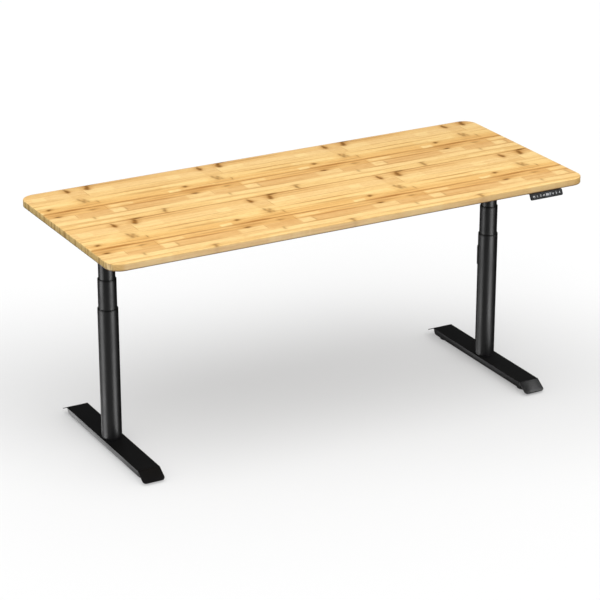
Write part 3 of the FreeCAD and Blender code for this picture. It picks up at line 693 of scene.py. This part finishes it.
def makeFoot(name, x, top):
    v = footValues
    half, end = v["width"] / 2, v["flat"] / 2 - v["wallShort"]
    clearSelection()
    bpy.ops.mesh.primitive_plane_add(size=1, location=(x, deskMiddleY, top))
    bpy.context.object.scale = (v["width"], 2 * end, 1)
    foot = nameIt(name)
    for sign in (-1, 1):  # side walls
        pick(foot, lambda p: abs(p.x - x - sign * half) < 1e-6)
        bpy.ops.mesh.extrude_region_move(TRANSFORM_OT_translate={"value": (-sign * v["lean"], 0, -v["wall"])})
        bpy.ops.object.mode_set(mode="OBJECT")
    for sign, drop in ((-1, v["frontDrop"]), (1, v["rearDrop"])):  # flat strip, then the flap
        pick(foot, lambda p: abs(p.y - deskMiddleY - sign * end) < 1e-6 and abs(p.z - top) < 1e-6)
        bpy.ops.mesh.extrude_region_move(TRANSFORM_OT_translate={"value": (0, sign * v["wallShort"], 0)})
        bpy.ops.mesh.extrude_region_move(TRANSFORM_OT_translate={"value": (0, sign * v["flapRun"], -drop)})
        bpy.ops.object.mode_set(mode="OBJECT")
    far = v["flat"] / 2 + v["flapRun"]
    pick(foot, lambda p: abs(abs(p.y - deskMiddleY) - far) < 1e-6, "vertices")
    bevelPicked(v["flapCorner"], 8, "VERTICES")
    bottom = top - v["wall"] + 1e-5
    pick(foot, lambda p: p.z < bottom and abs(abs(p.y - deskMiddleY) - end) < 1e-6, "vertices")
    bevelPicked(v["wallCorner"], 8, "VERTICES")
    fold = v["flat"] / 2

    def onFold(a, b):
        level = abs(a.z - top) < 1e-6 and abs(b.z - top) < 1e-6
        sideFold = alongAxis(a, b, 1) and abs(a.y - b.y) > 0.1 and abs(abs(a.x - x) - half) < 1e-6
        flapFold = all(abs(abs(p.y - deskMiddleY) - fold) < 1e-6 for p in (a, b))
        return level and (sideFold or flapFold)

    pickEdges(foot, onFold)
    bevelPicked(v["fold"], 4)
    pick(foot, lambda p: True, "faces")
    bpy.ops.mesh.normals_make_consistent(inside=False)
    bpy.ops.object.mode_set(mode="OBJECT")
    upward = [p for p in foot.data.polygons if abs(p.normal.z) > 0.9]
    if upward and max(upward, key=lambda p: p.area).normal.z < 0:
        pick(foot, lambda p: True, "faces")
        bpy.ops.mesh.flip_normals()
        bpy.ops.object.mode_set(mode="OBJECT")
    modify(foot, "SOLIDIFY", thickness=v["sheet"], offset=-1, use_even_offset=False)
    softenEdges(foot, v["edge"], 2, 40)
    bosses = []
    for y in (-v["levellerY"], v["levellerY"]):
        bore = 0.00405
        z1, z0 = top - v["sheet"] + 0.0001, top - v["sheet"] - v["boss"]
        ring = [(bore, z0 + 0.0004), (bore, z1), (v["bossRadius"], z1), (v["bossRadius"], z0 + 0.0008),
                (v["bossRadius"] - 0.0008, z0), (bore + 0.0004, z0)]
        bosses.append(addTurned("boss", ring, (x, deskMiddleY + y, 0), steps=40))
    joinPieces(foot, bosses)
    return paint(foot, shadedFootSteel)


# ---- levellers ----
levellerValues = {"pad": 0.024, "padHeight": 0.010, "chamfer": 0.003, "nutFlats": 0.013, "nutHeight": 0.003,
                  "stud": 0.004, "thread": 0.00018, "pitch": 0.00125}


def makeLeveller(name, low, high):
    v = levellerValues
    x, y = (low[0] + high[0]) / 2, (low[1] + high[1]) / 2
    base, pad, tall = low[2], v["pad"], low[2] + v["padHeight"]
    slant = v["chamfer"]
    outline = [(0.0, base), (pad - 0.0026, base), (pad - 0.0022, base + 0.0006),
               (pad - 0.0012, base + 0.0008), (pad - 0.0005, base + 0.0012), (pad, base + 0.0022),
               (pad, tall - slant - 0.0006), (pad - 0.0004, tall - slant), (pad - slant, tall - 0.0003),
               (pad - slant - 0.0008, tall), (0.0105, tall), (0.0098, tall - 0.0006), (0.0, tall - 0.0006)]
    body = addTurned(name, outline, (x, y, 0), steps=72)
    paint(body, padRubber)
    clearSelection()
    corner = v["nutFlats"] / 2 / math.cos(math.pi / 6)
    bpy.ops.mesh.primitive_cylinder_add(vertices=6, radius=corner, depth=v["nutHeight"],
                                        location=(x, y, tall + v["nutHeight"] / 2))
    nut = nameIt("nut")
    softenEdges(nut, 0.0004, 2)
    paint(nut, fastenerSteel)
    z0, z1 = tall + v["nutHeight"] - 0.0005, high[2]
    stud, crest, root = [(0.0, z0)], v["stud"], v["stud"] - v["thread"] * 2
    height = z0
    while height + v["pitch"] < z1 - 0.0008:
        stud += [(root, height), (crest, height + v["pitch"] * 0.45), (crest, height + v["pitch"] * 0.6)]
        height += v["pitch"]
    stud += [(root, height), (root - 0.0003, z1), (0.0, z1)]
    rod = addTurned("stud", stud, (x, y, 0), steps=32)
    paint(rod, fastenerSteel)
    return joinPieces(body, [nut, rod])


footLow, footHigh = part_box("left_foot")
foot = makeFoot("leftFoot", (footLow[0] + footHigh[0]) / 2, footHigh[2])
bothSides(foot, "left_foot", "base", 30)
frontLow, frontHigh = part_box("left_front_leveller")
leveller = makeLeveller("leftFrontLeveller", frontLow, frontHigh)
rearLeveller = copyPiece(leveller, "leftRearLeveller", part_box("left_rear_leveller")[0] - frontLow)
bothSides(leveller, "left_front_leveller", "left_front_leveller", 30)
bothSides(rearLeveller, "left_rear_leveller", "left_rear_leveller", 30)
print("feet made")

# ---- motors ----
motorValues = {"neck": 0.018, "can": 0.024, "round": 0.002, "canLength": 0.090, "cap": 0.020, "gland": 0.005,
               "groove": 0.0007}


def makeMotor(name, node):
    v = motorValues
    low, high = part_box(node)
    y, z = (low[1] + high[1]) / 2, (low[2] + high[2]) / 2
    reach, can, soft = high[0] - low[0], v["can"], v["round"]
    canEnd = 0.004 + v["canLength"]
    outline = [(0.0, 0.0), (v["neck"], 0.0), (v["neck"], 0.004), (can - soft, 0.004)]
    for k in range(1, 6):
        angle = k * math.pi / 10
        outline.append((can - soft + soft * math.sin(angle), 0.004 + soft - soft * math.cos(angle)))
    for groove in (0.014, 0.018, canEnd - 0.016, canEnd - 0.012):
        outline += [(can, groove - 0.0008), (can - v["groove"], groove - 0.0004),
                    (can - v["groove"], groove + 0.0004), (can, groove + 0.0008)]
    for k in range(0, 6):
        angle = k * math.pi / 10
        outline.append((can - soft + soft * math.cos(angle), canEnd - soft + soft * math.sin(angle)))
    cap, gland = v["cap"], v["gland"]
    outline += [(cap + 0.0004, canEnd), (cap, canEnd + 0.0004), (cap, canEnd + 0.0048),
                (cap - 0.0012, canEnd + 0.006), (gland + 0.0014, canEnd + 0.006), (gland, canEnd + 0.0068),
                (gland, reach - 0.006), (gland - 0.0006, reach - 0.0052), (gland, reach - 0.0044),
                (gland, reach - 0.0006), (gland - 0.0006, reach), (0.0, reach)]
    return paint(addTurned(name, outline, (low[0], y, z), "X", 72), motorSteel)


motor = makeMotor("leftMotor", "left_motor")  # its low end is at the gearbox
rightMotor = copyPiece(motor, "rightMotor", (0, 2 * deskMiddleY, 0), (0, 0, math.pi))
finishPiece(motor, "top", ["left_motor"], 30)
finishPiece(rightMotor, "top", ["right_motor"], 30)
print("motors made")

# ---- cables held under the desktop ----
cableValues = {"radius": 0.0025, "sides": 6}
underside, deskFront = deskLow[2], deskLow[1]
clipHigh, socketZ = underside - 0.0032, underside - 0.018
motorZ, motorEnd = underside - 0.037, 0.607
boxLeft, boxRight, crossX, handsetX = 0.120, 0.380, 0.425, 0.6664
mid = deskMiddleY
cableRoutes = {
    "left_motor_cable": [
        (-motorEnd, mid, motorZ), (-motorEnd + 0.032, mid, motorZ), (-motorEnd + 0.078, mid, clipHigh),
        (0.020, mid, clipHigh), (0.064, mid - 0.016, clipHigh - 0.003), (0.094, mid - 0.025, socketZ),
        (boxLeft, mid - 0.025, socketZ)],
    "right_motor_cable": [
        (motorEnd, mid, motorZ), (motorEnd - 0.030, mid, motorZ), (motorEnd - 0.072, mid + 0.008, clipHigh),
        (0.450, mid + 0.014, clipHigh), (0.410, mid + 0.020, socketZ), (boxRight, mid + 0.020, socketZ)],
    "handset_cable": [
        (handsetX, deskFront + 0.038, underside - 0.008),
        (handsetX - 0.024, deskFront + 0.038, underside - 0.008),
        (handsetX - 0.052, deskFront + 0.040, clipHigh), (0.470, deskFront + 0.046, clipHigh),
        (crossX, deskFront + 0.090, clipHigh), (crossX, mid - 0.150, clipHigh),
        (crossX, mid - 0.116, socketZ),
        (crossX, mid - 0.066, socketZ + 0.0005), (crossX - 0.010, mid - 0.036, socketZ),
        (crossX - 0.025, mid - 0.025, socketZ - 0.0002), (boxRight, mid - 0.025, socketZ)],
}


def makeCable(name, route):
    curve = bpy.data.curves.new(name, "CURVE")
    curve.dimensions = "3D"
    curve.resolution_u = 12
    curve.bevel_depth = cableValues["radius"]
    curve.bevel_resolution = cableValues["sides"]
    curve.use_fill_caps = True
    line = curve.splines.new("NURBS")
    line.points.add(len(route) - 1)
    for point, place in zip(line.points, route):
        point.co = (*place, 1.0)
    line.order_u = 3
    line.use_endpoint_u = True
    cable = bpy.data.objects.new(name, curve)
    bpy.context.scene.collection.objects.link(cable)
    takeUp(cable)
    bpy.ops.object.convert(target="MESH")
    return paint(bpy.context.object, cableRubber)


for node, route in cableRoutes.items():
    finishPiece(makeCable(camelName(node), route), "top", [node], 60)
print("cables made")

# ---- handset ----
handsetValues = {
    "shelf": 0.004, "slope": (0.010, 0.0185),  # how far the face stands out and drops
    # the case behind its face: run back from the desktop's edge and fall below its underside
    "rear": [(-0.0078, 0.0218), (0.0026, 0.0025), (0.008, 0.0028), (0.0175, 0.0065), (0.034, 0.0113),
             (0.050, 0.014), (0.050, 0.0)],
    "width": 0.130, "corner": 0.0055, "soft": 0.0006,
    "well": ((-0.0605, -0.0074, -0.0056), (0.0605, 0.0086, 0.0)),
    "panel": (0.126, 0.019), "panelThick": 0.0016, "panelCorner": 0.002,
    "key": 0.011, "keyCorner": 0.002, "keyStand": 0.0004, "keyDeep": 0.003, "keySoft": 0.0003, "hole": 0.0116,
    "places": {"memory_key": -0.0522, "preset_1_key": -0.0388, "preset_2_key": -0.0254, "up_key": -0.0120,
               "down_key": 0.0254, "preset_3_key": 0.0388, "preset_4_key": 0.0522},
    "displayX": 0.0067, "display": (0.0245, 0.0125), "digitSize": 0.0118,
    "symbols": {"memory_key": "M", "preset_1_key": "1", "preset_2_key": "2", "preset_3_key": "3",
                "preset_4_key": "4"},
    "symbolSize": 0.0096, "ink": 0.00006,
    "chevron": (0.0046, 0.0042, 0.0017),  # height, half width, stroke
}
faceTilt = math.atan2(handsetValues["slope"][1], handsetValues["slope"][0])
faceTurn = (faceTilt, 0, 0)
faceMove = (handsetX + handsetValues["width"] / 2,
            deskFront - handsetValues["shelf"] - handsetValues["slope"][0] / 2,
            underside - handsetValues["slope"][1] / 2)


def flatPad(name, x, width, height, z0, z1, corner):
    pad = addBlock(name, (x - width / 2, -height / 2, z0), (x + width / 2, height / 2, z1))
    pickEdges(pad, lambda a, b: alongAxis(a, b, 2))
    bevelPicked(corner, 5)
    return pad


def makeHandsetCase():
    v = handsetValues
    out, drop = v["slope"][0] + v["shelf"], v["slope"][1]
    y, z = deskFront, underside
    lowest = z - v["rear"][0][1]
    shape = [(-v["shelf"], 0.0), (-out, drop), *v["rear"]]
    profile = [(handsetX, y + run, z - fall) for run, fall in shape]
    case = addPrism("handsetCase", profile, (v["width"], 0, 0))

    def lowerCorner(a, b):
        ends = sorted((a, b), key=lambda p: p.y)
        level = abs(a.x - b.x) < 1e-6
        return level and abs(ends[0].y - (y - out)) < 1e-5 and abs(ends[1].z - lowest) < 1e-5

    pickEdges(case, lowerCorner)
    bevelPicked(v["corner"], 8)
    softenEdges(case, v["soft"], 2, 25)
    recess = flatPad("recess", 0, *v["panel"], -v["panelThick"], 0.003, v["panelCorner"])
    cutAway(case, placePiece(recess, faceTurn, faceMove))
    well = addBlock("well", *v["well"])
    cutAway(case, placePiece(well, faceTurn, faceMove))
    return paint(case, handsetPlastic)


def makeHandsetPanel():
    v = handsetValues
    width, height = [size - 0.0002 for size in v["panel"]]
    panel = flatPad("handsetPanel", 0, width, height, -v["panelThick"], 0.0, v["panelCorner"])
    cutters = [flatPad("hole", x, v["hole"], v["hole"], -0.004, 0.004, 0.0023) for x in v["places"].values()]
    cutAway(panel, joinPieces(cutters[0], cutters[1:]))
    softenEdges(panel, 0.00015, 2, 40)
    paint(panel, handsetGloss)
    window = flatPad("window", v["displayX"], *v["display"], -0.0003, 0.00008, 0.0012)
    paint(window, glassBlack)
    joinPieces(panel, [window])
    return placePiece(panel, faceTurn, faceMove)


def makeWord(text, x, size, level):
    clearSelection()
    bpy.ops.object.text_add(location=(0, 0, 0))
    label = bpy.context.object
    label.data.body = text
    label.data.size = size
    label.data.align_x = "CENTER"
    label.data.align_y = "CENTER"
    label.data.extrude = handsetValues["ink"]
    label.data.resolution_u = 3
    bpy.ops.object.convert(target="MESH")
    label = bpy.context.object
    label.location = (x, 0, level)
    bpy.ops.object.transform_apply(location=True, rotation=True, scale=True)
    return paint(label, inkGrey)


def makeChevron(x, level, sign):
    h, w, t = handsetValues["chevron"]
    ink = handsetValues["ink"]
    points = [(-w, -h / 2), (0, h / 2), (w, -h / 2), (w, -h / 2 - t), (0, h / 2 - t * 1.2), (-w, -h / 2 - t)]
    points = [(x + px, sign * (py + t / 2), level - ink) for px, py in points]
    return paint(addPrism("chevron", points, (0, 0, 2 * ink)), inkGrey)


def makeKeyBlank():
    v = handsetValues
    cap = flatPad("keyBlank", 0, v["key"], v["key"], -v["keyDeep"], v["keyStand"], v["keyCorner"])
    pickEdges(cap, lambda a, b: a.z > 0 and b.z > 0)
    bevelPicked(v["keySoft"], 3)
    wide, deep = v["key"] + 0.0018, -v["keyDeep"]  # a lip behind the panel holds the key in
    lip = flatPad("lip", 0, wide, wide, deep, deep + 0.0005, 0.0025)
    return paint(joinPieces(cap, [lip]), keyPlastic)


def makeKey(name, node, x):
    v = handsetValues
    cap = copyPiece(keyBlank, name, (x, 0, 0))
    if node in v["symbols"]:
        mark = makeWord(v["symbols"][node], x, v["symbolSize"], v["keyStand"])
    else:
        mark = makeChevron(x, v["keyStand"], 1 if node == "up_key" else -1)
    joinPieces(cap, [mark])
    return placePiece(cap, faceTurn, faceMove)


finishPiece(makeHandsetCase(), "top", ["handset_case"], 30)
digits = makeWord("80.7", handsetValues["displayX"], handsetValues["digitSize"], 0.00012)
panel = makeHandsetPanel()
joinPieces(panel, [placePiece(digits, faceTurn, faceMove)])
finishPiece(panel, "top", ["handset_face"], 30)
keyBlank = makeKeyBlank()
for node, x in handsetValues["places"].items():
    finishPiece(makeKey(camelName(node), node, x), node, [node], 30)
bpy.data.objects.remove(keyBlank, do_unlink=True)
print("handset made")

# ---- cable guide on the right column ----
guideValues = {"half": 0.020, "root": 0.018, "stand": 0.0396, "channel": 0.009, "channelDeep": 0.0374,
               "round": 0.003}


def makeGuide():
    v = guideValues
    low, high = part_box("leg_cable_guide")
    x, y, z = (low[0] + high[0]) / 2, deskMiddleY, (low[2] + high[2]) / 2
    guide = addBlock("legCableGuide", (x - v["half"], y + v["root"], low[2]),
                     (x + v["half"], y + v["stand"], high[2]))
    pickEdges(guide, lambda a, b: alongAxis(a, b, 2) and a.y > y + v["stand"] - 1e-5)
    bevelPicked(v["round"], 6)
    softenEdges(guide, 0.0008, 2)
    clearSelection()
    column = columnValues["outer"]["radius"]
    bpy.ops.mesh.primitive_cylinder_add(vertices=128, radius=column, depth=0.2, location=(x, y, z))
    cutAway(guide, nameIt("tubeCut"))
    slot = addBlock("slotCut", (x - v["channel"], y + 0.02, low[2] - 0.01),
                    (x + v["channel"], y + v["channelDeep"], high[2] + 0.01))
    cutAway(guide, slot)
    return paint(guide, blackPlastic)


finishPiece(makeGuide(), "base", ["leg_cable_guide"], 30)
print("guide made")

# ---- frame, gearboxes and control box: cut edges rounded as folded sheet and castings are ----
softValues = {"rail": 0.0006, "side_bracket": 0.0007, "gearbox": 0.0012, "control_box": 0.0007,
              "power_inlet": 0.0004, "base_nut_tube": 0.0005, "control_board": 0.0002}


def roundedCopy(node, width):
    mesh = nodes[node].data.copy()
    name = camelName("rounded_" + node)
    twin = bpy.data.objects.new(name, mesh)
    mesh.name = name
    bpy.context.scene.collection.objects.link(twin)
    pick(twin, lambda p: True, "vertices")
    bpy.ops.mesh.remove_doubles(threshold=1e-6)
    bpy.ops.mesh.dissolve_limited(angle_limit=math.radians(1.0))
    bpy.ops.object.mode_set(mode="OBJECT")
    return softenEdges(twin, width, 2, 40)


for entry in frame["record"]["subparts"]:
    node, slotName = entry["node"], entry["material_slot"]
    for ending, width in softValues.items():
        if node.endswith(ending):
            piece = paint(roundedCopy(node, width), slotFinish[slotName])
            finishPiece(piece, nodes[node]["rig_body"], [node], 30)
print("frame and gearboxes rounded")

# ---- floor, light and camera ----
studioValues = {
    "floor": 30.0, "floorTone": (0.459, 0.460, 0.460, 1.0), "floorGlow": (0.415, 0.415, 0.415, 1.0),
    # painted shadow: a dim band of lower glow lies across the floor under the desk: its glow, direction,
    # place and half width
    "bandGlow": (0.315, 0.315, 0.315, 1.0), "bandAcross": (-0.482, -0.876, 0.0), "bandPlace": 0.2,
    "bandHalf": 1.0, "sky": 0.84, "below": 0.14,
    "glossAbove": 0.055, "glossBelow": 0.012,
    "sun": {"from": (-0.14, -0.46, 1.0), "spread": 64.0, "power": 1.62},
    # lights that show only as sheen on the black coats, all at one distance and below the floor
    "sheenAway": 5.0, "sheenLevel": -1.4, "sheenTall": 3.2, "sheenAim": (0, 0, 0.4),
    "sheen": {
        "leftStrip": {"turn": -70, "wide": 3.0, "power": 135.0},
        "rightStrip": {"turn": 49, "wide": 2.8, "power": 180.0},
        "frontFill": {"turn": -8, "wide": 4.0, "power": 14.0},
    },
    "lowRear": {"place": (-1.3, 2.3, -1.4), "aim": (-0.5, 0.0, 0.03), "size": (1.3, 1.0), "power": 9.0},
    "upperRight": {"place": (3.0, -1.1, 3.2), "aim": (0.75, -0.35, 0.1), "size": (1.2, 1.2), "power": 1.1,
                   "beam": 16.0},
    "camera": {"place": (-3.7264, -6.7311, 3.4650), "turn": (68.234, 0.0, -28.8), "lens": 143.06},
}


def makeStudio():
    v = studioValues
    scene = bpy.context.scene
    scene.view_settings.view_transform = "Standard"
    clearSelection()
    bpy.ops.mesh.primitive_plane_add(size=v["floor"], location=(0, 0, 0))
    floor = bpy.context.object
    floor.name = "studioFloor"
    ground = Finish("paleFloor", Base_Color=v["floorTone"], Roughness=1.0, Specular_IOR_Level=0.0,
                    Emission_Strength=1.0)
    # painted shadow: the floor's glow dims in a band under the desk
    level = ground.vector("DOT_PRODUCT", ground.place(), v["bandAcross"], out="Value")
    away = ground.node("ShaderNodeMath", {"operation": "ABSOLUTE"}, {0: level + v["bandPlace"]})
    paintedShadowBand = ground.smooth(away, v["bandHalf"], 0.0)
    ground.feed(Emission_Color=ground.blend(paintedShadowBand, v["floorGlow"], v["bandGlow"]))
    paint(floor, ground.material)
    floor.visible_glossy = False
    floor.visible_shadow = False
    floor.visible_diffuse = False

    world = bpy.data.worlds.new("studioSky")
    scene.world = world
    world.use_nodes = True
    tree = world.node_tree
    tree.nodes.clear()
    path = tree.nodes.new("ShaderNodeLightPath")
    bright = tree.nodes.new("ShaderNodeBackground")
    way = tree.nodes.new("ShaderNodeTexCoord")
    split = tree.nodes.new("ShaderNodeSeparateXYZ")
    tree.links.new(way.outputs["Generated"], split.inputs[0])
    white = tree.nodes.new("ShaderNodeBackground")
    white.inputs["Color"].default_value = (1, 1, 1, 1)
    bright.inputs["Color"].default_value = (1, 1, 1, 1)
    dim = tree.nodes.new("ShaderNodeBackground")
    for shade, low, high in ((bright, v["below"], v["sky"]), (dim, v["glossBelow"], v["glossAbove"])):
        halves = tree.nodes.new("ShaderNodeMapRange")
        for key, value in (("From Min", -0.02), ("From Max", 0.02), ("To Min", low), ("To Max", high)):
            halves.inputs[key].default_value = value
        tree.links.new(split.outputs[2], halves.inputs[0])
        tree.links.new(halves.outputs[0], shade.inputs["Strength"])
    first, second = tree.nodes.new("ShaderNodeMixShader"), tree.nodes.new("ShaderNodeMixShader")
    out = tree.nodes.new("ShaderNodeOutputWorld")
    tree.links.new(path.outputs["Is Glossy Ray"], first.inputs[0])
    tree.links.new(bright.outputs[0], first.inputs[1])
    tree.links.new(dim.outputs[0], first.inputs[2])
    tree.links.new(path.outputs["Is Camera Ray"], second.inputs[0])
    tree.links.new(first.outputs[0], second.inputs[1])
    tree.links.new(white.outputs[0], second.inputs[2])
    tree.links.new(second.outputs[0], out.inputs[0])


def aimed(direction):
    level = math.hypot(direction[0], direction[1])
    return (math.atan2(level, -direction[2]), 0, math.atan2(-direction[0], direction[1]))


def addSheen(name, place, aim, size, power, beam=180.0):
    data = bpy.data.lights.new(name, "AREA")
    data.shape = "RECTANGLE"
    data.size, data.size_y = size
    data.energy = power
    data.spread = math.radians(beam)
    light = bpy.data.objects.new(name, data)
    bpy.context.scene.collection.objects.link(light)
    light.location = place
    light.rotation_euler = aimed([a - b for a, b in zip(aim, place)])
    light.visible_camera = False
    light.visible_diffuse = False


makeStudio()
v = studioValues
sunData = bpy.data.lights.new("highSoftbox", "SUN")
sunData.energy = v["sun"]["power"]
sunData.angle = math.radians(v["sun"]["spread"])
sun = bpy.data.objects.new("highSoftbox", sunData)
bpy.context.scene.collection.objects.link(sun)
sun.rotation_euler = aimed([-a for a in v["sun"]["from"]])
sun.visible_glossy = False
cameraTurn = math.atan2(v["camera"]["place"][1], v["camera"]["place"][0])
for name, light in v["sheen"].items():
    angle = cameraTurn + math.radians(light["turn"])
    place = (v["sheenAway"] * math.cos(angle), v["sheenAway"] * math.sin(angle), v["sheenLevel"])
    addSheen(name, place, v["sheenAim"], (light["wide"], v["sheenTall"]), light["power"])
addSheen("lowRear", **v["lowRear"])
addSheen("upperRight", **v["upperRight"])

v = studioValues["camera"]
camera = bpy.data.objects.new("studioCamera", bpy.data.cameras.new("studioCamera"))
bpy.context.scene.collection.objects.link(camera)
camera.location = v["place"]
camera.rotation_euler = [math.radians(a) for a in v["turn"]]
camera.data.lens = v["lens"]
camera.data.sensor_width = 36.0
camera.data.clip_end = 100.0
bpy.context.scene.camera = camera
print("studio ready")
